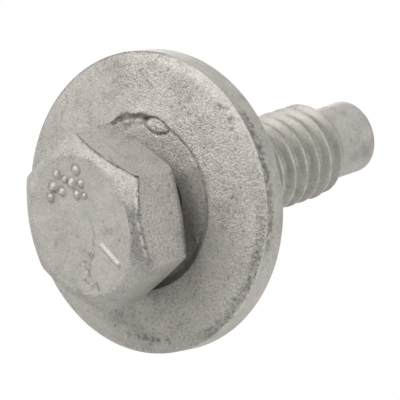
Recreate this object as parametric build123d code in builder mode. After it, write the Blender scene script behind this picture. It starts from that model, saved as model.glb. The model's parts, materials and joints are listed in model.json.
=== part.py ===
from build123d import *

import math
import os

# Hex bolt with a captive washer and a dog point, 5/16-18 UNC, in millimetres.
# z = 0 is the top face of the hex head, and +Z runs along the bolt to its point.
# The washer hangs loosely on the neck and leans against the head.

# ---- Head ----
head_across_flats = 12.7
head_height = 5.25            # top face to bearing face
top_face_diameter = 11.45     # flat left inside the top chamfer
top_chamfer_angle = 30.0      # degrees from the top face
bearing_diameter = 11.6       # flat that bears on the washer
underside_angle = 18.0        # degrees, underside of the corners

# ---- Shank ----
length_under_head = 26.05     # bearing face to end of the point
neck_diameter = 6.9
neck_fillet = 0.4             # under the head
thread_major_diameter = 7.78
runout_length = 0.6           # cone from the neck up to the thread
taper_length = 1.15           # cone from the thread down to the dog point
dog_diameter = 5.94
dog_length = 4.05
dog_edge_radius = 0.45

# ---- Washer ----
washer_diameter = 24.2
washer_bore_height = 2.7      # thickness at the bore, on the floor of the recess
washer_lip_height = 3.1       # thickness at the lip around the recess
washer_rim_height = 2.18      # straight wall of the rim
lip_diameter = 13.8
recess_wall_width = 0.6
rolled_band_width = 0.85      # band around the edge on the head side
rolled_band_rise = 0.3
back_edge_radius = 0.2        # rounding of the rim on the panel side
washer_tilt = 10.15           # degrees, the lean at rest
tilt_direction = 40.0         # degrees from +X, the side that leans to the head

# ---- Fits ----
tilt_clearance = 0.1          # bore to neck at full lean
thread_clearance = 0.25       # bore edge to thread run-out at full lean
lip_clearance = 0.0           # lip to the level of the bearing face at full lean

# ---- Derived ----
corner_radius = head_across_flats / math.sqrt(3)
top_face_radius = top_face_diameter / 2
bearing_radius = bearing_diameter / 2
neck_radius = neck_diameter / 2
thread_radius = thread_major_diameter / 2
dog_radius = dog_diameter / 2
point_z = head_height + length_under_head

tilt_sin = math.sin(math.radians(washer_tilt))
tilt_cos = math.cos(math.radians(washer_tilt))
half_bore_height = washer_bore_height / 2
bore_radius = (neck_radius + tilt_clearance + half_bore_height * tilt_sin) / tilt_cos
lip_radius = lip_diameter / 2
washer_radius = washer_diameter / 2
lip_reach = (washer_lip_height - half_bore_height) * tilt_cos + lip_radius * tilt_sin
washer_centre_z = head_height + lip_clearance + lip_reach
bore_reach = half_bore_height * tilt_cos + bore_radius * tilt_sin
runout_z = washer_centre_z + bore_reach + thread_clearance
thread_start_z = runout_z + runout_length
dog_start_z = point_z - dog_length
thread_end_z = dog_start_z - taper_length

# ---- Bolt ----
chamfer_drop = (corner_radius - top_face_radius) * math.tan(math.radians(top_chamfer_angle))
underside_rise = (corner_radius - bearing_radius) * math.tan(math.radians(underside_angle))

with BuildPart() as bolt:
    with BuildSketch():
        RegularPolygon(corner_radius, 6)
    extrude(amount=head_height)
    # The turned outline cuts the top chamfer and the sloping underside of the corners.
    with BuildSketch(Plane.XZ):
        with BuildLine():
            Polyline(
                (0, 0),
                (top_face_radius, 0),
                (corner_radius, chamfer_drop),
                (corner_radius, head_height - underside_rise),
                (bearing_radius, head_height),
                (0, head_height),
                close=True,
            )
        make_face()
    revolve(axis=Axis.Z, mode=Mode.INTERSECT)
    with BuildSketch(Plane.XZ):
        with BuildLine():
            Polyline(
                (0, head_height),
                (neck_radius, head_height),
                (neck_radius, runout_z),
                (thread_radius, thread_start_z),
                (thread_radius, thread_end_z),
                (dog_radius, dog_start_z),
                (dog_radius, point_z),
                (0, point_z),
                close=True,
            )
        make_face()
    revolve(axis=Axis.Z)
    neck_root = bolt.edges().filter_by(GeomType.CIRCLE).filter_by(
        lambda e: abs(e.radius - neck_radius) < 0.001 and abs(e.center().Z - head_height) < 0.001
    )
    fillet(neck_root, radius=neck_fillet)
    fillet(bolt.faces().sort_by(Axis.Z)[-1].edges(), radius=dog_edge_radius)
bolt.part.label = "bolt"

# ---- Captive washer ----
lean = math.radians(tilt_direction)
washer_axis = Vector(math.cos(lean) * tilt_sin, math.sin(lean) * tilt_sin, tilt_cos)
rocking_axis = Vector(-math.sin(lean), math.cos(lean), 0)
washer_centre = Vector(0, 0, washer_centre_z)
washer_plane = Plane(
    origin=washer_centre + washer_axis * half_bore_height,
    x_dir=rocking_axis,
    z_dir=washer_axis.cross(rocking_axis),
)

# In the washer's plane, x is the radius and y is the height above the panel face.
with BuildPart() as captive_washer:
    with BuildSketch(washer_plane):
        with BuildLine():
            Polyline(
                (bore_radius, 0),
                (washer_radius, 0),
                (washer_radius, washer_rim_height),
                (washer_radius - rolled_band_width, washer_rim_height + rolled_band_rise),
                (lip_radius, washer_lip_height),
                (lip_radius - recess_wall_width, washer_bore_height),
                (bore_radius, washer_bore_height),
                close=True,
            )
        make_face()
    revolve(axis=Axis(washer_centre, washer_axis))
    panel_rim = captive_washer.edges().filter_by(
        lambda e: abs(e.length - 2 * math.pi * washer_radius) < 0.001
    ).sort_by(Axis(washer_centre, washer_axis))[-1]
    fillet(panel_rim, radius=back_edge_radius)
captive_washer.part.label = "captive_washer"

os.makedirs("parts", exist_ok=True)
export_step(bolt.part, "parts/bolt.step")
export_step(captive_washer.part, "parts/captive_washer.step")
print(f"washer centre z {washer_centre_z:.3f}, bore diameter {2 * bore_radius:.3f}, "
      f"thread from z {thread_start_z:.3f} to {thread_end_z:.3f}, point z {point_z:.3f}")
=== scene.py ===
import json
import math
from types import SimpleNamespace

import bpy
import numpy as np
from mathutils import Matrix, Vector


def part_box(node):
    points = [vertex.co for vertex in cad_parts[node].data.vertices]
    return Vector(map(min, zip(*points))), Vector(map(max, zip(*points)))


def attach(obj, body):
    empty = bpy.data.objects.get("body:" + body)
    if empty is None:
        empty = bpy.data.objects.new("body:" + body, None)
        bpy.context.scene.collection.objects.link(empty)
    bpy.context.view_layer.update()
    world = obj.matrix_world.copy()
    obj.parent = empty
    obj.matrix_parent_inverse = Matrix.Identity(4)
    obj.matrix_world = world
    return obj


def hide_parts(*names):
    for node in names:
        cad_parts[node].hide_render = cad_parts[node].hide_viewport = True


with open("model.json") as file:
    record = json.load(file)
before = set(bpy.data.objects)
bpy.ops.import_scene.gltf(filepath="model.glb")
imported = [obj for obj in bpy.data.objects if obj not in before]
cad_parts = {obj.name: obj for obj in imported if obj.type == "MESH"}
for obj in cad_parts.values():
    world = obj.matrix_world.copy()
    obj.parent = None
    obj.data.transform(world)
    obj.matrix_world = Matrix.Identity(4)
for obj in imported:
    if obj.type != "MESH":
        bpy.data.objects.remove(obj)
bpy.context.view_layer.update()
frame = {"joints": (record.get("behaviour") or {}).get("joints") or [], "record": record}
mm = 0.001
print("frame loaded")


# the helpers work in millimetres and degrees
def roundedPath(points, radii, steps):
    # a polyline with an arc at each inner corner; every corner gives the same number of points
    path = [np.array(points[0], float)]
    for i in range(1, len(points) - 1):
        before, corner, after = (np.array(points[j], float) for j in (i - 1, i, i + 1))
        inward = (before - corner) / np.linalg.norm(before - corner)
        outward = (after - corner) / np.linalg.norm(after - corner)
        half = math.acos(float(np.clip(inward @ outward, -1, 1))) / 2
        reach = min(radii[i] / max(math.tan(half), 1e-6),
                    0.48 * np.linalg.norm(before - corner), 0.48 * np.linalg.norm(after - corner))
        a, b = corner + inward * reach, corner + outward * reach
        for k in range(steps[i] + 1):
            t = k / steps[i]
            path.append((1 - t) ** 2 * a + 2 * t * (1 - t) * corner + t ** 2 * b)
    path.append(np.array(points[-1], float))
    return np.array(path)


def spread(path, longest):
    # puts more points on the long straight stretches
    out = [path[0]]
    for a, b in zip(path[:-1], path[1:]):
        count = max(1, int(math.ceil(np.linalg.norm(b - a) / longest)))
        out += [a + (b - a) * k / count for k in range(1, count + 1)]
    return np.array(out)


def softNoise(points, size, seed):
    # smooth lumps of one size, from -1 to 1, the same on every run
    lattice = np.random.default_rng(seed).uniform(-1, 1, (32, 32, 32))
    p = np.asarray(points, float) / size
    base = np.floor(p).astype(int)
    t = p - base
    t = t * t * (3 - 2 * t)
    total = 0
    for dx in (0, 1):
        for dy in (0, 1):
            for dz in (0, 1):
                weight = (np.abs(1 - dx - t[..., 0]) * np.abs(1 - dy - t[..., 1])
                          * np.abs(1 - dz - t[..., 2]))
                total = total + weight * lattice[(base[..., 0] + dx) % 32, (base[..., 1] + dy) % 32,
                                                 (base[..., 2] + dz) % 32]
    return total


def smoothStep(low, high, value):
    t = np.clip((value - low) / (high - low), 0, 1)
    return t * t * (3 - 2 * t)


def around(degrees, centre):
    # signed angle from centre, in degrees
    return (degrees - centre + 180) % 360 - 180


def inZone(azimuths, zone):
    # 1 between two azimuths, with soft ends
    middle, half = (zone["from"] + zone["to"]) / 2, (zone["to"] - zone["from"]) / 2
    return 1 - smoothStep(half - zone["soft"], half + zone["soft"], np.abs(around(azimuths, middle)))


def bell(away, width):
    # 1 in the middle of a soft line or ring, fading out over its width
    return np.exp(-(away / width) ** 2)


def toStroke(x, y, start, end):
    # distance from a straight stroke
    (ax, ay), (bx, by) = start, end
    squared = (bx - ax) ** 2 + (by - ay) ** 2
    along = np.clip(((x - ax) * (bx - ax) + (y - ay) * (by - ay)) / squared, 0, 1)
    return np.hypot(x - ax - along * (bx - ax), y - ay - along * (by - ay))


def gridFaces(rows, columns, first=0, closed=True):
    # quads between rows of a tube, row by row
    faces = []
    last = columns if closed else columns - 1
    for r in range(rows - 1):
        for c in range(last):
            d = (c + 1) % columns
            faces.append((first + r * columns + c, first + r * columns + d,
                          first + (r + 1) * columns + d, first + (r + 1) * columns + c))
    return faces


def makeMesh(name, points, faces, values, material):
    mesh = bpy.data.meshes.new(name)
    mesh.from_pydata((np.asarray(points) * mm).tolist(), [], faces)
    mesh.validate()
    for label, numbers in values.items():
        layer = mesh.attributes.new(label, "FLOAT", "POINT")
        layer.data.foreach_set("value", np.asarray(numbers, np.float32))
    mesh.shade_smooth()
    mesh.materials.append(material)
    made = bpy.data.objects.new(name, mesh)
    bpy.context.scene.collection.objects.link(made)
    return made


def zincFinish(name, look):
    # matt silver flake coat: cloudy grey, dark specks where it is grainy, fine bump
    material = bpy.data.materials.new(name)
    material.use_nodes = True
    nodes, links = material.node_tree.nodes, material.node_tree.links
    nodes.clear()
    output = nodes.new("ShaderNodeOutputMaterial")
    shader = nodes.new("ShaderNodeBsdfPrincipled")
    shader.inputs["Metallic"].default_value = look["metallic"]
    shader.inputs["Roughness"].default_value = look["roughness"]
    links.new(shader.outputs[0], output.inputs[0])
    place = nodes.new("ShaderNodeTexCoord")

    def noiseAt(size, detail, seed):
        moved = nodes.new("ShaderNodeVectorMath")
        moved.operation = "ADD"
        moved.inputs[1].default_value = [seed * step for step in look["seedStep"]]
        links.new(place.outputs["Object"], moved.inputs[0])
        noise = nodes.new("ShaderNodeTexNoise")
        noise.inputs["Scale"].default_value = 1 / (size * mm)
        noise.inputs["Detail"].default_value = detail
        noise.inputs["Roughness"].default_value = look["noiseRoughness"]
        links.new(moved.outputs[0], noise.inputs["Vector"])
        return noise.outputs["Fac"]

    def remap(source, low, high, toLow, toHigh):
        node = nodes.new("ShaderNodeMapRange")
        ends = {"From Min": low, "From Max": high, "To Min": toLow, "To Max": toHigh}
        for socket, value in ends.items():
            node.inputs[socket].default_value = value
        links.new(source, node.inputs["Value"])
        return node.outputs[0]

    def patches(kind, seed, none):
        # one kind of patch, from none up to 1 where it is full
        noise = noiseAt(look[kind + "Size"], look[kind + "Detail"], seed)
        return remap(noise, look[kind + "From"], look[kind + "Full"], none, 1)

    def calculate(operation, a, b):
        node = nodes.new("ShaderNodeMath")
        node.operation = operation
        for socket, value in zip(node.inputs, (a, b)):
            if isinstance(value, (int, float)):
                socket.default_value = value
            else:
                links.new(value, socket)
        return node.outputs[0]

    def attribute(label):
        node = nodes.new("ShaderNodeAttribute")
        node.attribute_name = label
        return node.outputs["Fac"]

    tone, grain, olive = attribute("tone"), attribute("grain"), attribute("olive")
    cloud, fleck = patches("cloud", 1, -1), patches("fleck", 2, -1)
    speck, stain = patches("speck", 3, 0), patches("stain", 4, 0)
    flecked = calculate("MULTIPLY", calculate("MULTIPLY", fleck, look["fleckDepth"]), grain)
    specked = calculate("MULTIPLY", calculate("MULTIPLY", speck, look["speckDepth"]), grain)
    stained = calculate("MULTIPLY", stain, look["stainDepth"])
    shade = calculate("ADD", tone, calculate("MULTIPLY", cloud, look["cloudDepth"]))
    shade = calculate("SUBTRACT", calculate("ADD", shade, flecked), calculate("ADD", specked, stained))

    def mixed(factor, first, second):
        node = nodes.new("ShaderNodeMix")
        node.data_type = "RGBA"
        for socket, value in (("Factor", factor), ("A", first), ("B", second)):
            if isinstance(value, tuple):
                node.inputs[socket].default_value = (*value, 1)
            else:
                links.new(value, node.inputs[socket])
        return node.outputs["Result"]

    light = mixed(olive, look["light"], look["oliveLight"])
    links.new(mixed(shade, look["dark"], light), shader.inputs["Base Color"])
    fleckHeight = calculate("MULTIPLY", fleck, grain)
    cloudHeight = calculate("MULTIPLY", cloud, look["cloudBump"])
    height = calculate("ADD", fleckHeight, cloudHeight)
    bump = nodes.new("ShaderNodeBump")
    bump.inputs["Strength"].default_value = look["bumpStrength"]
    bump.inputs["Distance"].default_value = look["bumpDepth"] * mm
    links.new(height, bump.inputs["Height"])
    links.new(bump.outputs[0], shader.inputs["Normal"])
    return material


zincLook = {
    "dark": (0.02, 0.019, 0.018),
    "light": (0.55, 0.519, 0.478),
    "oliveLight": (0.53, 0.512, 0.448),
    "metallic": 0.3,
    "roughness": 0.5,
    # each kind of patch: size in millimetres, and the noise levels where it starts and is full
    "cloudSize": 1.5, "cloudDetail": 3, "cloudFrom": 0.3, "cloudFull": 0.7, "cloudDepth": 0.07,
    "fleckSize": 0.16, "fleckDetail": 2, "fleckFrom": 0.25, "fleckFull": 0.75, "fleckDepth": 0.22,
    "speckSize": 0.3, "speckDetail": 1, "speckFrom": 0.57, "speckFull": 0.72, "speckDepth": 0.17,
    "stainSize": 2.2, "stainDetail": 6, "stainFrom": 0.56, "stainFull": 0.68, "stainDepth": 0.15,
    "noiseRoughness": 0.6, "seedStep": (0.013, 0.007, -0.011),
    "cloudBump": 0.6, "bumpStrength": 0.6, "bumpDepth": 0.035,
}
boltFinish = zincFinish("zincFlakeBolt", zincLook)
washerFinish = zincFinish("zincFlakeWasher", zincLook)
print("finishes made")


boltLow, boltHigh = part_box("bolt")
boltSettings = {
    "acrossFlats": (boltHigh.y - boltLow.y) / mm,
    "length": boltHigh.z / mm,
    "headHeight": 5.25,
    "topFace": 11.45,
    "topChamfer": 30,
    "bearing": 11.6,
    "underside": 18,
    "neck": 6.9,
    "runout": 0.6,
    "threadStart": 11.04,
    "threadMajor": 7.78,
    "threadDepth": 0.48,
    "threadPhase": 0.15,
    "pitch": 1.411,
    "threadEnd": 26.1,
    "dogStart": 27.25,
    "dog": 5.94,
    # roundings along the outline
    "cornerRound": 0.35, "faceRound": 0.5, "chamferRound": 0.1, "footRound": 0.45, "bearingRound": 0.3,
    "neckFillet": 0.4, "runoutRound": 0.5, "taperRound": 0.8, "dogRootRound": 0.4, "dogEdge": 0.45,
    # how fine the mesh is
    "faceRings": 72, "chamferRows": 11, "sideRows": 18, "rowSpacing": 0.082,
    "cornerSteps": [0, 0.35, 0.7, 1.05, 1.4, 2.0],      # degrees from each corner
    # tone says how light the coat is, with painted light and shade added in places, and grain how coarse it is
    "headTone": 0.69, "shankTone": 0.68,
    "faceGrain": 0.5, "chamferGrain": 0.9, "sideGrain": 0.85, "shankGrain": 0.45,
    # the sides' tones are painted light and shade, by which way each side faces
    "sideLightAndShade": {-150: -0.06, -90: 0.06, -30: 0.04, 30: 0.0, 90: 0.0, 150: 0.0},    # by the side's azimuth
    "coarseSide": -90, "coarseSideGrain": 1.3,
    # zones on the head and the thread, by azimuth
    # painted highlight and painted shade on the chamfer, by azimuth
    "chamferHighlight": {"from": -150, "to": -112, "soft": 8, "tone": 0.07},
    "shadedZone": {"from": -106, "to": -62, "soft": 8, "tone": 0.24},
    "shadowedZone": {"from": 140, "to": 205, "soft": 15, "tone": 0.05},
    "edgeDirt": {"from": -178, "to": -62, "soft": 4, "tone": 0.42, "middle": 0.05, "width": 0.09},
    "edgeChips": {"from": -118, "to": -66, "soft": 3, "tone": 0.5, "middle": -0.09, "width": 0.07},
    # painted shade at the foot of a side, where the head meets the washer
    "footShade": {"from": -118, "to": -62, "soft": 2, "tone": 0.25},
    "cornerDashes": {"azimuth": -121.5, "width": 1.3, "tone": 0.4},
    # painted highlight on the thread's lit side
    "litThread": {"from": 140, "to": 205, "soft": 15, "tone": 0.07},
    "oliveThread": {"from": -165, "to": 20, "soft": 25, "olive": 0.7},
    # painted highlight along the thread's crests and painted shade in its roots
    "crestHighlight": 0.16, "rootShade": 0.16,
    # worn plain marks, in x and y of the top face
    "pips": [    # x, y, radius, height
        (-2.25, 2.95, 0.36, 0.20), (-3.15, 2.45, 0.42, 0.24), (-4.15, 1.8, 0.36, 0.18),
        (-2.75, 1.5, 0.36, 0.22), (-3.75, 1.0, 0.30, 0.14), (-3.45, 0.25, 0.42, 0.24),
        (-4.5, -0.45, 0.40, 0.20), (-3.4, -0.75, 0.34, 0.20), (-2.5, -0.15, 0.36, 0.20),
        (-2.45, -0.95, 0.26, 0.14),
    ],
    # each pip gets a painted highlight on top and a ring of painted shade round it
    "pipHighlight": 0.14, "pipShade": 0.26, "pipShadeGrain": 0.14,
    # the bar's tone is a painted highlight, and barShade is a painted shadow beside it
    "bar": {"from": (1.58, -2.0), "to": (3.05, -3.5), "width": 0.19, "height": 0.2, "tone": 0.16},
    "barShade": {"from": (1.85, -1.75), "to": (3.25, -3.2), "width": 0.2, "depth": 0.06, "tone": 0.16},
    "notch": {"from": (4.7, -0.6), "to": (5.4, -0.8), "width": 0.13, "depth": 0.07, "tone": 0.34},
    "lumps": [(3.2, 0.95), (2.5, -0.55), (3.6, 0.4), (4.9, 0.0), (4.0, 0.15), (3.1, 0.3), (4.4, 0.55)],
    "lumpSize": 0.36, "lumpHeight": 0.07, "lumpTone": 0.10, "lumpGrain": 0.16,
    "hairline": [(-0.35, -1.25), (0.7, -1.23), (1.5, -1.03), (2.4, -0.82), (3.1, -0.2), (3.7, -0.1)],
    "hairlineWidth": 0.09, "hairlineTone": 0.17,
    "specks": [
        (-1.0, 1.6), (0.4, 2.9), (1.5, 3.4), (0.9, 0.6), (-0.4, -2.6), (2.0, 1.9), (1.2, -4.0), (-1.8, -3.0),
    ],
    "speckSize": 0.16, "speckTone": 0.22,
}


def hexRadius(degrees):
    # distance from the axis to the hex wall, with its corners rounded; corners at 0, 60, 120 ...
    apothem, rounding = boltSettings["acrossFlats"] / 2, boltSettings["cornerRound"]
    fromCorner = np.radians(np.abs((degrees + 30) % 60 - 30))
    flat = apothem / np.cos(np.radians(30) - fromCorner)
    centre = (apothem - rounding) / math.cos(math.radians(30))
    reach = rounding ** 2 - (centre * np.sin(fromCorner)) ** 2
    arc = centre * np.cos(fromCorner) + np.sqrt(np.maximum(reach, 0))
    tangent = math.atan(rounding * 0.5 / (centre + rounding * math.cos(math.radians(30))))
    return np.where(fromCorner < tangent, arc, flat)


def headTopMarks(x, y):
    # how far the marks stand out of the head's top face, and how much they lighten or darken it;
    # away is the distance from a mark's middle, 1 near its edge, and smoothStep fades it out there
    marks = boltSettings
    flat = np.stack([x, y, x * 0], -1)
    fine, broad = softNoise(flat, 0.3, 12), softNoise(flat, 1.6, 11)
    height = 0.014 * broad + 0.006 * fine
    tone = 0.02 * broad
    for px, py, radius, rise in marks["pips"]:
        away = np.hypot(x - px, y - py) / radius + 0.12 * fine
        height = np.maximum(height, rise * (1 - smoothStep(0.35, 1.0, away)))
        # painted highlight on each pip and a ring of painted shade round it
        ring = marks["pipShade"] + marks["pipShadeGrain"] * fine
        tone += marks["pipHighlight"] * (1 - smoothStep(0.3, 0.75, away)) - ring * bell(away - 1.12, 0.3)
    bar, shade, notch = marks["bar"], marks["barShade"], marks["notch"]
    away = toStroke(x, y, bar["from"], bar["to"]) / bar["width"]
    height = np.maximum(height, bar["height"] * (1 - smoothStep(0.5, 1.2, away)))
    # painted highlight on the bar, and painted shadow beside it below
    tone += bar["tone"] * (1 - smoothStep(0.6, 1.2, away))
    away = toStroke(x, y, shade["from"], shade["to"]) / shade["width"]
    height -= shade["depth"] * (1 - smoothStep(0.3, 1.2, away))
    tone -= shade["tone"] * (1 - smoothStep(0.2, 1.3, away + 0.3 * fine))
    away = toStroke(x, y, notch["from"], notch["to"]) / notch["width"]
    height -= notch["depth"] * (1 - smoothStep(0.3, 1.1, away))
    tone -= notch["tone"] * (1 - smoothStep(0.4, 1.1, away))
    for px, py in marks["lumps"]:
        away = np.hypot(x - px, y - py) / marks["lumpSize"] + 0.25 * fine
        height += marks["lumpHeight"] * fine * (1 - smoothStep(0.4, 1.3, away))
        tone -= (marks["lumpTone"] - marks["lumpGrain"] * fine) * (1 - smoothStep(0.4, 1.2, away))
    for start, end in zip(marks["hairline"][:-1], marks["hairline"][1:]):
        away = toStroke(x + 0.05 * broad, y + 0.12 * fine, start, end) / marks["hairlineWidth"]
        broken = smoothStep(-0.7, 0.1, fine + 0.5)
        tone -= marks["hairlineTone"] * (1 - smoothStep(0.3, 1.2, away)) * broken
    for px, py in marks["specks"]:
        away = np.hypot(x - px, y - py) / marks["speckSize"] + 0.2 * fine
        tone -= marks["speckTone"] * (1 - smoothStep(0.3, 1.0, away))
    return height, tone


def threadRise(z, degrees):
    # rolled V thread with rounded crest and root: 0 at the root, 1 on the crest, right-handed
    turn = (z / boltSettings["pitch"] - degrees / 360 + boltSettings["threadPhase"]) % 1
    fromCrest = np.minimum(turn, 1 - turn)
    return 1 - smoothStep(0.03, 0.42, fromCrest) ** 0.85


def headTones(r, z, azimuth, upper, lower):
    # tone and grain on the chamfer, the six sides and their worn edges, with painted light and shade by
    # azimuth
    s = boltSettings
    chamferHighlight, shadedZone, shadowedZone, footShadow = s["chamferHighlight"], s["shadedZone"], s["shadowedZone"], s["footShade"]
    dirt, chip, dash = s["edgeDirt"], s["edgeChips"], s["cornerDashes"]
    spot = np.stack([r * np.cos(np.radians(azimuth)), r * np.sin(np.radians(azimuth)), z], -1)
    fine, broad = softNoise(spot, 0.22, 31), softNoise(spot, 0.9, 32)
    onChamfer = z < upper - 0.02
    onSide = (z >= upper - 0.02) & (z < lower)
    # painted light and shade on the sides, by which way they face
    side = sum(value * (np.abs(around(azimuth, middle)) < 30) for middle, value in s["sideLightAndShade"].items())
    tone = s["headTone"] + 0.02 * broad + onSide * side
    grain = np.where(onChamfer, s["chamferGrain"], s["sideGrain"])
    grain = np.where(onSide & (np.abs(around(azimuth, s["coarseSide"])) < 30), s["coarseSideGrain"], grain)
    # painted highlight on the chamfer towards one corner, and painted shade beside the next corner and on the
    # far side
    tone += onChamfer * (chamferHighlight["tone"] * inZone(azimuth, chamferHighlight) - shadedZone["tone"] * inZone(azimuth, shadedZone))
    tone -= onChamfer * shadowedZone["tone"] * inZone(azimuth, shadowedZone)
    # dark dirt and bright wear along the chamfer's outer edge
    fromEdge = z - upper
    broken = smoothStep(-0.9, -0.2, fine + 0.3 * broad)
    tone -= inZone(azimuth, dirt) * dirt["tone"] * bell(fromEdge - dirt["middle"], dirt["width"]) * broken
    chips = inZone(azimuth, chip) * smoothStep(-0.15, 0.25, fine)
    tone += chips * chip["tone"] * bell(fromEdge - chip["middle"], chip["width"])
    # painted shade at the foot of the side that shows most, where it meets the washer, and dark dashes on its
    # upper corner
    tone -= onSide * inZone(azimuth, footShadow) * footShadow["tone"] * smoothStep(lower - 0.55, lower - 0.25, z)
    corner = bell(around(azimuth, dash["azimuth"]), dash["width"]) * smoothStep(-0.1, 0.4, fine)
    tone -= onSide * corner * dash["tone"] * (1 - smoothStep(upper + 1.2, upper + 2.0, z))
    return tone, grain


def headOutlines(wall, upper, lower):
    # one outline from the top face down to the bearing face for each azimuth
    s = boltSettings
    topRadius, bearing, neck = s["topFace"] / 2, s["bearing"] / 2, s["neck"] / 2
    radii = [0, s["faceRound"], s["chamferRound"], s["footRound"], s["bearingRound"], 0]
    moreRows = {6: s["chamferRows"], 12: s["sideRows"]}     # rows on the straight stretches that follow
    outlines = []
    for radius, top, bottom in zip(wall, upper, lower):
        corners = [(topRadius - 0.3, 0), (topRadius, 0), (radius, top), (radius, bottom),
                   (bearing, s["headHeight"]), (neck + 0.6, s["headHeight"])]
        path = roundedPath(corners, radii, [1, 5, 5, 8, 4, 1])
        full = [path[0]]
        for i, (a, b) in enumerate(zip(path[:-1], path[1:])):
            count = moreRows.get(i, 1)
            full += [a + (b - a) * k / count for k in range(1, count + 1)]
        outlines.append(full)
    return np.array(outlines)


def shankOutline():
    # radius and height from the fillet under the head to the end of the dog point
    s = boltSettings
    neck, major, dog = s["neck"] / 2, s["threadMajor"] / 2, s["dog"] / 2
    corners = [(neck + 0.45, s["headHeight"]), (neck, s["headHeight"]), (neck, s["threadStart"] - s["runout"]),
               (major, s["threadStart"]), (major, s["threadEnd"]), (dog, s["dogStart"]),
               (dog, s["length"]), (0, s["length"])]
    radii = [0, s["neckFillet"], s["runoutRound"], s["runoutRound"], s["taperRound"], s["dogRootRound"],
             s["dogEdge"], 0]
    path = spread(roundedPath(corners, radii, [1, 5, 4, 4, 6, 5, 8, 1]), s["rowSpacing"])
    return path[path[:, 0] > 0.5]


def makeBolt():
    s = boltSettings
    near = s["cornerSteps"]
    sector = near + list(np.linspace(3, 57, 54)) + [60 - a for a in near[:0:-1]]
    azimuths = np.array([k * 60 + a for k in range(6) for a in sector])
    columns = len(azimuths)
    wall = hexRadius(azimuths)
    topRadius, bearing, major = s["topFace"] / 2, s["bearing"] / 2, s["threadMajor"] / 2
    slopeTop, slopeUnder = (math.tan(math.radians(s[k])) for k in ("topChamfer", "underside"))
    upper = (wall - topRadius) * slopeTop
    lower = s["headHeight"] - (wall - bearing) * slopeUnder
    profiles = headOutlines(wall, upper, lower)
    cosA, sinA = np.cos(np.radians(azimuths)), np.sin(np.radians(azimuths))
    points, tone, grain = [(0, 0, 0)], [s["headTone"]], [s["faceGrain"]]

    # top face: rings from the axis outwards
    rings = s["faceRings"]
    for k in range(1, rings):
        radius = (topRadius - 0.3) * k / rings
        x, y = radius * cosA, radius * sinA
        height, shift = headTopMarks(x, y)
        points += list(zip(x, y, -height))
        tone += list(s["headTone"] + shift)
        grain += [s["faceGrain"]] * columns
    faces = [(0, 1 + (c + 1) % columns, 1 + c) for c in range(columns)]
    for k in range(profiles.shape[1]):
        r, z = profiles[:, k, 0], profiles[:, k, 1]
        points += list(zip(r * cosA, r * sinA, z))
        rowTone, rowGrain = headTones(r, z, azimuths, upper, lower)
        tone += list(rowTone)
        grain += list(rowGrain)
    rowsInHead = rings - 1 + profiles.shape[1]
    faces += gridFaces(rowsInHead, columns, 1)
    olive = [0] * len(points)

    # shank: neck, thread and dog point, every third azimuth
    thin = azimuths[::3]
    turns = len(thin)
    cosT, sinT = np.cos(np.radians(thin)), np.sin(np.radians(thin))
    lit, oily = s["litThread"], s["oliveThread"]
    path = shankOutline()
    shankStart = len(points)
    for r, z in path:
        inThread = smoothStep(s["threadStart"] - 0.3, s["threadStart"] + 0.8, z)
        crest = threadRise(z, thin)
        root = major - s["threadDepth"] * (1 - crest) * inThread
        radius = np.minimum(r, root)
        points += list(zip(radius * cosT, radius * sinT, np.full(turns, z)))
        threaded = inThread * (1 - smoothStep(s["threadEnd"] + 0.2, s["dogStart"], z))
        spot = np.stack([r * cosT, r * sinT, np.full(turns, z)], -1)
        fine, broad = softNoise(spot, 0.25, 41), softNoise(spot, 1.1, 42)
        # painted highlight on the crests and painted shade in the roots, and a painted highlight on the
        # thread's lit side
        paintedCrestAndRoot = s["crestHighlight"] * (crest > 0.92) * smoothStep(-0.2, 0.3, fine) - s["rootShade"] * (1 - crest) ** 2
        tone += list(s["shankTone"] + 0.04 * broad + threaded * (paintedCrestAndRoot + lit["tone"] * inZone(thin, lit)))
        grain += [s["shankGrain"]] * turns
        olive += list(threaded * (oily["olive"] + 0.2 * broad) * inZone(thin, oily))
    faces += gridFaces(len(path), turns, shankStart)
    points.append((0, 0, s["length"]))
    tone.append(s["shankTone"])
    grain.append(s["shankGrain"])
    olive.append(0)
    end = len(points) - 1
    lastRow = shankStart + (len(path) - 1) * turns
    faces += [(end, lastRow + c, lastRow + (c + 1) % turns) for c in range(turns)]
    # the bearing face joins three head columns to each shank column
    headRow = 1 + (rowsInHead - 1) * columns
    for c in range(turns):
        d = (c + 1) % turns
        a = [headRow + (3 * c + k) % columns for k in range(4)]
        faces.append((shankStart + c, a[0], a[1]))
        faces.append((shankStart + c, a[1], a[2], shankStart + d))
        faces.append((shankStart + d, a[2], a[3]))
    print("bolt faces", len(faces))
    return makeMesh("boltBody", points, faces, {"tone": tone, "grain": grain, "olive": olive}, boltFinish)


boltBody = makeBolt()
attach(boltBody, "bolt")
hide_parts("bolt")
print("bolt made")


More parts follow.
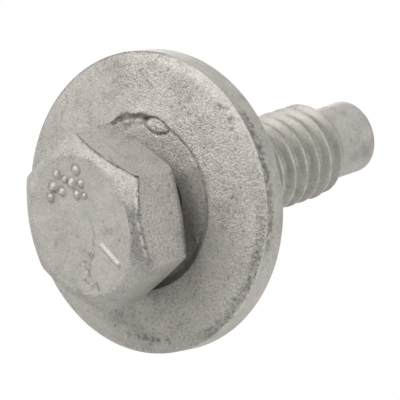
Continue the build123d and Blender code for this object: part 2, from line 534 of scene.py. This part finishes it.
rock = frame["joints"][0]
panelFace = next(m for m in frame["record"]["mounts"] if m["name"] == "panel_face")
washerAxis = Vector(panelFace["axis"]).normalized()
washerSettings = {
    "centre": Vector(rock["pos_m"]) / mm,
    "boreHeight": 2.7,
    "bore": 7.7,
    "outer": 24.2,
    "rimHeight": 2.18,
    "bandWidth": 0.85,
    "bandRise": 0.3,
    "lip": 13.8,
    "lipHeight": 3.1,
    "recessWall": 0.6,
    # roundings along the outline
    "backRound": 0.3, "edgeRound": 0.12, "bandRound": 1.1, "lipRound": 0.16, "recessRound": 0.35,
    "boreRound": 0.2,
    # how fine the mesh is
    "columns": 720, "rowSpacing": 0.13, "hiddenThinning": 3,
    # tone says how light the coat is, with painted light and shade added in places, and grain how coarse it is
    "tone": 0.72, "grain": 0.95, "olive": 0.25, "wallSmoothness": 0.55,
    "grainy": {"from": -190, "to": -60, "soft": 25, "grain": 0.25},
    # round the recess; every place on the washer is an azimuth in degrees and a radius
    "lipPush": {"from": 164, "to": 204, "soft": 14, "by": 0.3, "width": 0.55},
    # the filled side's tone is a painted highlight
    "filled": {"from": -214, "to": -112, "soft": 9, "rise": 0.27, "tone": 0.05},    # nearly level with the lip
    # the lip groove's tone is painted shade of the lip
    "lipGrooveShade": {"from": -156, "to": -72, "soft": 6, "width": 0.22, "depth": 0.05, "tone": 0.13},
    # the crescent's tone is painted shade of the recess wall
    "crescent": {"azimuth": 174, "half": 21, "radius": 6.6, "width": 0.72, "climb": 0.016,
                 "depth": 0.05, "tone": 0.2},
    "button": {"azimuth": -161, "radius": 6.47, "along": 1.2, "across": 0.62, "groove": 0.12,
               "rise": 0.10, "tone": 0.04, "grooveTone": 0.3, "nubTone": 0.2},
    # on the face
    "clouds": [  # azimuth, radius, along, across: darker grainy patches
        (166, 11.4, 1.4, 0.9), (170, 9.6, 1.5, 1.0), (-152, 10.4, 1.7, 0.9), (-128, 9.5, 1.0, 0.7),
        (2, 10.9, 2.6, 0.6),
    ],
    "cloudTone": 0.09,
    "veins": [   # strokes in azimuth and radius
        ((140, 11.5), (138.7, 10.9)), ((138.7, 10.9), (134, 10.7)), ((134, 10.7), (128, 10.3)),
        ((128, 10.3), (121, 10.5)), ((-177, 10.6), (-170, 9.6)), ((-170, 9.6), (-160, 8.9)),
    ],
    "veinWidth": 0.13, "veinTone": 0.13,
    "folds": [((-66, 4.9), (-59.5, 5.9)), ((-59.5, 5.9), (-54, 7.1)), ((-68, 6.4), (-57, 6.6))],
    "foldWidth": 0.16, "foldRise": 0.05, "foldTone": 0.12,
    "pits": [    # azimuth, radius, size, depth
        (-132, 11.2, 0.34, 0.06), (-129.5, 11.45, 0.30, 0.06), (-124, 11.3, 0.46, 0.07),
        (-121, 11.0, 0.28, 0.05), (-46.5, 11.3, 0.28, 0.07), (-44.0, 11.15, 0.24, 0.06),
        (14, 10.85, 0.24, 0.05), (9, 10.8, 0.22, 0.05), (5, 10.8, 0.34, 0.06), (1, 10.9, 0.28, 0.07),
        (-2, 10.95, 0.24, 0.06), (-7, 11.05, 0.34, 0.06), (-92, 9.1, 0.26, 0.05), (-96, 8.6, 0.18, 0.04),
        (-150, 9.0, 0.22, 0.04), (-142, 8.8, 0.18, 0.04), (-76, 8.3, 0.2, 0.04), (22, 10.6, 0.2, 0.04),
        (38, 10.9, 0.24, 0.04),
    ],
    "pitTone": 0.26,
    # painted shade on the face's far side
    "shadowedFace": {"from": 100, "to": 185, "soft": 20, "tone": 0.06},
    # on the rolled band and the rim wall
    # painted highlight where the band faces the light, and the rough band darkened partly as painted shade
    "litBand": {"from": -178, "to": -118, "soft": 15, "tone": 0.09},
    "roughShadedBand": {"from": -88, "to": -22, "soft": 8, "tone": 0.17},                 # torn on the head side
    "tornEdge": {"from": -126, "to": -72, "soft": 8, "tone": 0.24, "grit": 0.4},    # broken strip of the wall
    # painted light and painted shade round the rim wall, by azimuth
    "litWall": {"from": -60, "to": 40, "soft": 14, "tone": 0.03},
    "shadedWall": {"from": -126, "to": -76, "soft": 12, "tone": 0.07},
    "shadowedWall": {"from": 110, "to": 215, "soft": 12, "tone": 0.10},
    # painted highlight along the front edge, and painted shade on its far side
    "edgeHighlight": {"from": -122, "to": -34, "soft": 6, "tone": 0.4},                  # bright sharp edge
    "shadowedEdge": {"from": 120, "to": 196, "soft": 8, "tone": 0.3},
}
leanTurn = Vector((0, 0, 1)).rotation_difference(washerAxis).to_matrix()


def ovalAway(washer, azimuth, radius, along, across):
    # distance from an oval's centre, 1 on its edge
    turned = np.radians(around(washer.azimuths, azimuth))
    return np.hypot(turned * radius / along, (washer.radii - radius) / across)


def strokeAway(washer, start, end):
    # distance from a stroke given by azimuth and radius at each end
    x = washer.radii * np.cos(np.radians(washer.azimuths))
    y = washer.radii * np.sin(np.radians(washer.azimuths))
    ends = [(r * math.cos(math.radians(a)), r * math.sin(math.radians(a))) for a, r in (start, end)]
    return toStroke(x, y, *ends)


def washerOutline():
    # radius and height above the panel face, once round the section
    s = washerSettings
    outer, lip, bore = s["outer"] / 2, s["lip"] / 2, s["bore"] / 2
    corners = [(lip + 2, 0), (outer, 0), (outer, s["rimHeight"]),
               (outer - s["bandWidth"], s["rimHeight"] + s["bandRise"]), (lip, s["lipHeight"]),
               (lip - s["recessWall"], s["boreHeight"]), (bore, s["boreHeight"]), (bore, 0), (lip + 1.9, 0)]
    radii = [0, s["backRound"], s["edgeRound"], s["bandRound"], s["lipRound"], s["recessRound"],
             s["boreRound"], s["boreRound"], 0]
    path = spread(roundedPath(corners, radii, [1, 5, 5, 10, 6, 6, 4, 4, 1])[:-1], s["rowSpacing"])
    hidden = (path[:, 1] < 0.001) | (np.abs(path[:, 0] - bore) < 0.001)     # plain panel face and bore
    return path[~hidden | (np.arange(len(path)) % s["hiddenThinning"] == 0)]


def washerSurface(outline):
    # the plain washer as a grid, with the noise that its marks share
    s = washerSettings
    columns, push = s["columns"], s["lipPush"]
    turns = np.arange(columns) * 360 / columns
    radii = np.repeat(outline[:, :1], columns, 1)
    heights = np.repeat(outline[:, 1:], columns, 1)
    azimuths = np.repeat(turns[None, :], len(outline), 0)
    onFace = heights > s["rimHeight"] + 0.02
    radii += onFace * push["by"] * inZone(azimuths, push) * bell(radii - s["lip"] / 2, push["width"])
    onWall = (radii > s["outer"] / 2 - 0.02) & (heights > 0.05) & ~onFace
    spot = np.stack([radii * np.cos(np.radians(azimuths)), radii * np.sin(np.radians(azimuths)), heights], -1)
    lumps, broad = softNoise(spot, 2.6, 21), softNoise(spot, 1.2, 25)
    pebble, grit = softNoise(spot, 0.34, 22), softNoise(spot, 0.2, 23)
    coarse = s["grain"] + 0.4 * softNoise(spot, 3.5, 24) + s["grainy"]["grain"] * inZone(azimuths, s["grainy"])
    return SimpleNamespace(
        radii=radii, heights=heights, azimuths=azimuths, onFace=onFace, onWall=onWall,
        lumps=lumps, broad=broad, pebble=pebble, grit=grit,
        tone=s["tone"] + 0.025 * lumps,
        grain=np.clip(coarse, 0.3, 1.4),
        rise=np.zeros(radii.shape),     # extra height on the head side
        push=np.zeros(radii.shape),     # extra radius
    )


def markRecess(washer):
    # the recess is shallow on one side, with a painted highlight there, and a fine groove left at the lip,
    # darkened as painted shade of the lip
    s = washerSettings
    lip, filled, button, crescent = s["lip"] / 2, s["filled"], s["button"], s["crescent"]
    inside = (1 - smoothStep(lip - 0.35, lip - 0.1, washer.radii)) * washer.onFace
    level = inZone(washer.azimuths, filled)
    depth = s["lipHeight"] - washer.heights
    washer.rise += level * inside * np.clip(depth - 0.13, 0, filled["rise"])
    buttonAway = ovalAway(washer, button["azimuth"], button["radius"], button["along"], button["across"])
    lipGrooveShade = s["lipGrooveShade"]
    groove = bell(washer.radii - lip + 0.15, lipGrooveShade["width"]) * washer.onFace
    groove = groove * inZone(washer.azimuths, lipGrooveShade)
    groove *= smoothStep(1.0, 1.4, buttonAway)
    # painted highlight on the filled side
    washer.tone += level * inside * filled["tone"]
    washer.rise -= groove * lipGrooveShade["depth"]
    # painted shade of the lip along the groove
    washer.tone -= groove * (lipGrooveShade["tone"] + 0.16 * washer.grit)

    # crescent: a rough strip round the head's far side, darkened as painted shade of the recess wall
    along = around(washer.azimuths, crescent["azimuth"])
    middle = crescent["radius"] + crescent["climb"] * along
    away = np.hypot(along / crescent["half"], (washer.radii - middle) / crescent["width"])
    dark = (1 - smoothStep(0.75, 1.05, away + 0.12 * washer.pebble)) * washer.onFace
    # painted shade of the recess wall
    washer.tone -= dark * (crescent["tone"] + 0.16 * washer.grit)
    washer.rise += dark * 0.06 * washer.pebble - dark * crescent["depth"]

    # button: an oval mark with a dark groove round it
    away = buttonAway + 0.06 * washer.pebble
    ring = bell(away - 1.0, 0.16) * washer.onFace
    boss = (1 - smoothStep(0.6, 0.95, away)) * washer.onFace
    washer.rise += boss * (button["rise"] + 0.05 * washer.pebble) - ring * button["groove"]
    washer.tone += (boss * (button["tone"] + 0.12 * washer.pebble)
                    - ring * (button["grooveTone"] + 0.1 * washer.grit))
    nubAway = ovalAway(washer, button["azimuth"] + 1, button["radius"], 0.25, 0.16)
    nub = (1 - smoothStep(0.5, 1.1, nubAway)) * washer.onFace
    washer.tone -= nub * button["nubTone"]


def markFace(washer, face):
    # gentle hammering, darker patches, veins, folds and pits
    s = washerSettings
    washer.rise += face * (0.02 * washer.lumps + 0.02 * washer.pebble + 0.01 * washer.grit)
    for place in s["clouds"]:
        away = ovalAway(washer, *place) + 0.4 * washer.broad
        cloud = (1 - smoothStep(0.4, 1.2, away)) * washer.onFace
        washer.tone -= cloud * (s["cloudTone"] + 0.08 * washer.pebble)
    for start, end in s["veins"]:
        away = (strokeAway(washer, start, end) + 0.06 * washer.broad) / s["veinWidth"]
        washer.tone -= s["veinTone"] * (1 - smoothStep(0.2, 1.2, away)) * washer.onFace
    for start, end in s["folds"]:
        away = (strokeAway(washer, start, end) + 0.1 * washer.grit) / s["foldWidth"]
        fold = 1 - smoothStep(0.3, 1.3, away)
        washer.tone += (0.14 * washer.grit - s["foldTone"]) * fold * washer.onFace
        washer.rise += s["foldRise"] * fold * washer.onFace
    for azimuth, radius, wide, deep in s["pits"]:
        away = ovalAway(washer, azimuth, radius, wide, wide) + 0.35 * washer.grit
        pit = (1 - smoothStep(0.3, 1.1, away)) * washer.onFace
        washer.rise -= pit * deep
        washer.tone -= pit * s["pitTone"]
    # painted shade on the face's far side
    shadowedZone = s["shadowedFace"]
    washer.tone -= face * shadowedZone["tone"] * inZone(washer.azimuths, shadowedZone)


def markBand(washer):
    # the rolled band on the head side, with a painted highlight where it faces the light and a rough torn
    # stretch darkened partly as painted shade
    s = washerSettings
    lit, roughStretch = s["litBand"], s["roughShadedBand"]
    bandStart = s["outer"] / 2 - s["bandWidth"]
    band = smoothStep(bandStart - 0.1, bandStart + 0.3, washer.radii) * washer.onFace
    # painted highlight where the band faces the light
    washer.tone += band * lit["tone"] * inZone(washer.azimuths, lit)
    rough = inZone(washer.azimuths, roughStretch) * band
    washer.rise += rough * (0.06 * washer.grit - 0.02)
    # darkened partly as painted shade
    washer.tone -= rough * (roughStretch["tone"] + 0.17 * washer.grit)


def markWall(washer):
    # rim wall: smooth, with a broken dark strip below the front edge, painted light and shade round it by
    # azimuth, and a bright line along the front edge that is a painted highlight, with painted shade on its
    # far side
    s = washerSettings
    roughStretch, lit, shadedZone, shadowedZone = s["tornEdge"], s["litWall"], s["shadedWall"], s["shadowedWall"]
    highlightedEdge, dark = s["edgeHighlight"], s["shadowedEdge"]
    azimuths, grit, onWall = washer.azimuths, washer.grit, washer.onWall
    strip = inZone(azimuths, roughStretch) * onWall * smoothStep(1.2, 1.5, washer.heights + 0.3 * washer.pebble)
    washer.push += strip * (0.06 * grit - 0.07)
    washer.tone -= strip * (roughStretch["tone"] + roughStretch["grit"] * grit)
    washer.grain *= 1 - s["wallSmoothness"] * onWall
    # painted light and painted shade round the wall
    washer.tone += onWall * (lit["tone"] * inZone(azimuths, lit) - shadedZone["tone"] * inZone(azimuths, shadedZone))
    washer.tone -= onWall * inZone(azimuths, shadowedZone) * shadowedZone["tone"]
    fromWall, fromTop = washer.radii - s["outer"] / 2, washer.heights - s["rimHeight"]
    edge = np.exp(-(fromWall / 0.13) ** 2 - (fromTop / 0.12) ** 2)
    # painted highlight along the edge, and painted shade on its far side
    washer.tone += edge * inZone(azimuths, highlightedEdge) * highlightedEdge["tone"] * smoothStep(-0.35, 0.15, grit)
    washer.tone -= edge * inZone(azimuths, dark) * dark["tone"]


def makeWasher():
    s = washerSettings
    outline = washerOutline()
    washer = washerSurface(outline)
    face = smoothStep(s["lip"] / 2 - 0.2, s["lip"] / 2 + 0.5, washer.radii) * washer.onFace
    markRecess(washer)
    markFace(washer, face)
    markBand(washer)
    markWall(washer)

    turned, radii = np.radians(washer.azimuths), washer.radii + washer.push
    z = s["boreHeight"] / 2 - washer.heights - washer.rise
    local = np.stack([radii * np.cos(turned), radii * np.sin(turned), z], -1).reshape(-1, 3)
    world = local @ np.array(leanTurn).T + np.array(s["centre"])
    rows, columns = radii.shape
    faces = [f[::-1] for f in gridFaces(rows, columns)]
    last = (rows - 1) * columns
    faces += [(last + c, c, (c + 1) % columns, last + (c + 1) % columns) for c in range(columns)]
    print("washer faces", len(faces))
    values = {"tone": washer.tone.ravel(), "grain": washer.grain.ravel(), "olive": s["olive"] * face.ravel()}
    return makeMesh("captiveWasher", world, faces, values, washerFinish)


washerBody = makeWasher()
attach(washerBody, "washer")
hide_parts("captive_washer")
print("washer made")


stageLook = {
    "floorDrop": 0.2,
    "floorSize": 900,
    "floorColour": (0.86, 0.86, 0.85),
    "backdrop": (1, 1, 1),
    "ambient": (0.22, 0.22, 0.22),
}


def makeFloor():
    half = stageLook["floorSize"] / 2 * mm
    drop = -stageLook["floorDrop"] * mm
    mesh = bpy.data.meshes.new("floor")
    corners = [(-half, -half, drop), (half, -half, drop), (half, half, drop), (-half, half, drop)]
    mesh.from_pydata(corners, [], [(0, 1, 2, 3)])
    floor = bpy.data.objects.new("floor", mesh)
    bpy.context.scene.collection.objects.link(floor)
    material = bpy.data.materials.new("paleFloor")
    material.use_nodes = True
    nodes, links = material.node_tree.nodes, material.node_tree.links
    nodes.clear()
    output = nodes.new("ShaderNodeOutputMaterial")
    mixed = nodes.new("ShaderNodeMixShader")
    clear = nodes.new("ShaderNodeBsdfTransparent")
    matt = nodes.new("ShaderNodeBsdfDiffuse")
    matt.inputs["Color"].default_value = (*stageLook["floorColour"], 1)
    rays, side = nodes.new("ShaderNodeLightPath"), nodes.new("ShaderNodeNewGeometry")
    front = nodes.new("ShaderNodeMath")
    front.operation = "SUBTRACT"   # seen only from above, so the head can be looked at from below
    links.new(rays.outputs["Is Camera Ray"], front.inputs[0])
    links.new(side.outputs["Backfacing"], front.inputs[1])
    front.use_clamp = True
    links.new(front.outputs[0], mixed.inputs[0])
    links.new(clear.outputs[0], mixed.inputs[1])
    links.new(matt.outputs[0], mixed.inputs[2])
    links.new(mixed.outputs[0], output.inputs[0])
    mesh.materials.append(material)


def makeWorld():
    world = bpy.data.worlds.new("studio")
    bpy.context.scene.world = world
    world.use_nodes = True
    nodes, links = world.node_tree.nodes, world.node_tree.links
    nodes.clear()
    output = nodes.new("ShaderNodeOutputWorld")
    mixed = nodes.new("ShaderNodeMixShader")
    dim, bright = nodes.new("ShaderNodeBackground"), nodes.new("ShaderNodeBackground")
    dim.inputs["Color"].default_value = (*stageLook["ambient"], 1)
    bright.inputs["Color"].default_value = (*stageLook["backdrop"], 1)
    rays = nodes.new("ShaderNodeLightPath")
    seen = rays.outputs["Is Camera Ray"]
    for kind in ("Is Glossy Ray", "Is Transmission Ray"):
        joined = nodes.new("ShaderNodeMath")
        joined.operation = "MAXIMUM"
        links.new(seen, joined.inputs[0])
        links.new(rays.outputs[kind], joined.inputs[1])
        seen = joined.outputs[0]
    links.new(seen, mixed.inputs[0])
    links.new(dim.outputs[0], mixed.inputs[1])
    links.new(bright.outputs[0], mixed.inputs[2])
    links.new(mixed.outputs[0], output.inputs[0])


cameraPlace = {
    "location": (-81.259, -348.314, -322.576),
    "ahead": (0.1678, 0.70968, 0.68425),
    "upward": (-0.97231, 0.00461, 0.23366),
    "lens": 550.9,
    "sensor": 36,
    "clipStart": 0.01, "clipEnd": 10,      # metres
}
ahead = Vector(cameraPlace["ahead"]).normalized()
rightward = ahead.cross(Vector(cameraPlace["upward"])).normalized()
upward = rightward.cross(ahead)


def makeCamera():
    data = bpy.data.cameras.new("camera")
    data.lens, data.sensor_width = cameraPlace["lens"], cameraPlace["sensor"]
    data.clip_start, data.clip_end = cameraPlace["clipStart"], cameraPlace["clipEnd"]
    camera = bpy.data.objects.new("camera", data)
    turn = Matrix((rightward, upward, -ahead)).transposed().to_4x4()
    camera.matrix_world = Matrix.Translation(Vector(cameraPlace["location"]) * mm) @ turn
    bpy.context.scene.collection.objects.link(camera)
    bpy.context.scene.camera = camera


# soft lamps of one size stand around the bolt; right, up and near are measured along the camera's axes
lampSettings = {
    "away": 300,
    "size": 200,
    "aimHeight": 0.4,      # share of the bolt's length
    "lamps": {
        "keyLamp": {"right": -0.7, "up": 0.7, "near": 0.4, "power": 0.6},
        "frontLamp": {"right": -0.5, "up": 0.5, "near": 0.7, "power": 0.33},
        "leftLamp": {"right": -1.0, "up": -0.1, "near": 0.3, "power": 0.14},
        "highRightLamp": {"right": 0.7, "up": 0.7, "near": 0.2, "power": 0.13},
        "rightLamp": {"right": 1.0, "up": 0.0, "near": 0.3, "power": 0.31},
        "lowLamp": {"right": 0.0, "up": -1.0, "near": 0.3, "power": 0.21},
        "farHighLamp": {"right": 0.0, "up": 1.0, "near": -0.5, "power": 0.08},
        "farLowLamp": {"right": 0.7, "up": -0.7, "near": -0.3, "power": 0.125},
        "backLamp": {"right": 0.1, "up": 0.2, "near": -1.0, "power": 0.35},
    },
}


def makeLamps():
    middle = Vector((0, 0, boltSettings["length"] * lampSettings["aimHeight"])) * mm
    for name, lamp in lampSettings["lamps"].items():
        data = bpy.data.lights.new(name, "AREA")
        data.shape = "DISK"
        data.size = lampSettings["size"] * mm
        data.energy = lamp["power"]
        toward = (rightward * lamp["right"] + upward * lamp["up"] - ahead * lamp["near"]).normalized()
        placed = bpy.data.objects.new(name, data)
        placed.location = middle + toward * lampSettings["away"] * mm
        placed.rotation_euler = toward.to_track_quat("Z", "Y").to_euler()
        bpy.context.scene.collection.objects.link(placed)


makeFloor()
makeWorld()
makeCamera()
makeLamps()
bpy.context.scene.view_settings.view_transform = "Standard"
print("stage made")
